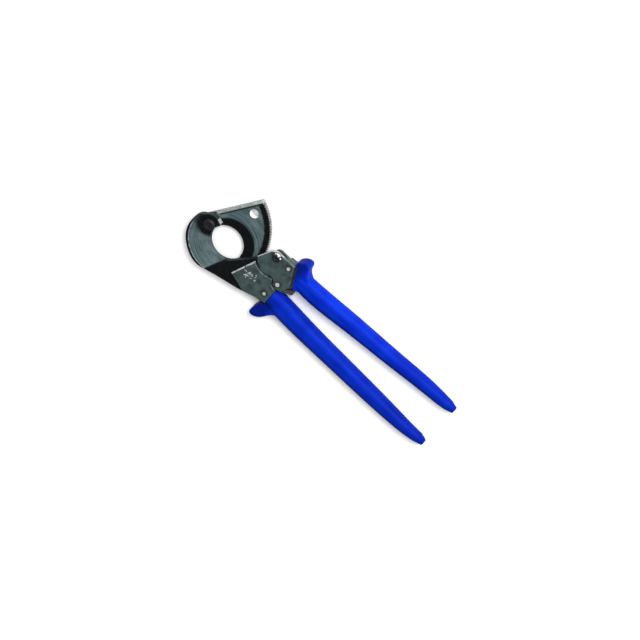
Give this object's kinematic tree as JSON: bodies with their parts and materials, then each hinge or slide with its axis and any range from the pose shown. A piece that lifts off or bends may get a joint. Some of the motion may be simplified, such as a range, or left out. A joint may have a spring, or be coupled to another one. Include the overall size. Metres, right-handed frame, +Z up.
{
  "type": "ratchet cable cutter",
  "caption": "Ratchet cable cutter with a fixed hook blade, a swinging toothed blade, riveted side plates and two long oval grips with flared finger guards.",
  "frame": {"origin": "centre of the tool's bounding box on the plane it lies on", "axes": "+X along the handles from the cutting head to the handle ends, +Y towards the moving handle, +Z up through the thickness"},
  "size_m": [0.345, 0.1108, 0.0224],
  "materials": {
    "ground_steel": "ground blade steel with fine lines",
    "dark_steel": "gunmetal coated plate, fine grain",
    "bright_steel": "bright turned steel",
    "bronze": "plain bearing bronze",
    "spring_steel": "drawn wire",
    "blue_plastic": "satin blue dipped plastic",
    "olive_plastic": "dull olive plastic"
  },
  "bodies": {
    "frame": {"fixed_blade": "ground_steel", "back_plate": "dark_steel", "side_cover": "dark_steel", "cover_badge": "bright_steel", "fixed_tang": "dark_steel", "frame_rivets": "bright_steel", "fixed_grip": "blue_plastic", "blade_pivot_bolt": "dark_steel", "blade_pivot_washer": "bright_steel", "blade_pivot_nut": "dark_steel", "handle_pivot_bolt": "dark_steel", "handle_pivot_washer": "bright_steel", "handle_pivot_nut": "dark_steel", "holding_pawl_pin": "bright_steel", "holding_pawl_spring": "spring_steel"},
    "blade": {"moving_blade": "ground_steel", "blade_bush": "bronze"},
    "handle": {"moving_side_plate": "dark_steel", "moving_spacer": "dark_steel", "moving_lower_plate": "dark_steel", "moving_lever": "dark_steel", "handle_bush": "bronze", "moving_grip": "blue_plastic", "side_plate_rivet": "bright_steel", "drive_pawl_pin": "bright_steel", "drive_pawl_spring": "spring_steel"},
    "drive_pawl": {"drive_pawl": "bright_steel"},
    "holding_pawl": {"holding_pawl": "bright_steel", "release_tab": "olive_plastic"}
  },
  "joints": [
    {"name": "blade_hinge", "type": "hinge", "parent": "frame", "child": "blade", "pos_m": [-0.15475, -0.00647, 0.0065], "axis": [0, 0, 1], "range_deg": [-72, 90]},
    {"name": "handle_hinge", "type": "hinge", "parent": "frame", "child": "handle", "pos_m": [-0.07725, 0.02202, 0.0065], "axis": [0, 0, 1], "range_deg": [0, 25]},
    {"name": "drive_pawl_hinge", "type": "hinge", "parent": "handle", "child": "drive_pawl", "pos_m": [-0.05755, -0.00258, 0.0065], "axis": [0, 0, 1], "range_deg": [-39, 0.5]},
    {"name": "release_hinge", "type": "hinge", "parent": "frame", "child": "holding_pawl", "pos_m": [-0.06175, -0.02218, 0.0065], "axis": [0, 0, 1], "range_deg": [0, 7], "stiffness_Nm_per_rad": 0.1, "springref_deg": -8.59}
  ],
  "couplings": [
    {"joint": "drive_pawl_hinge", "follows": "handle_hinge", "ratio": -1.53}
  ]
}
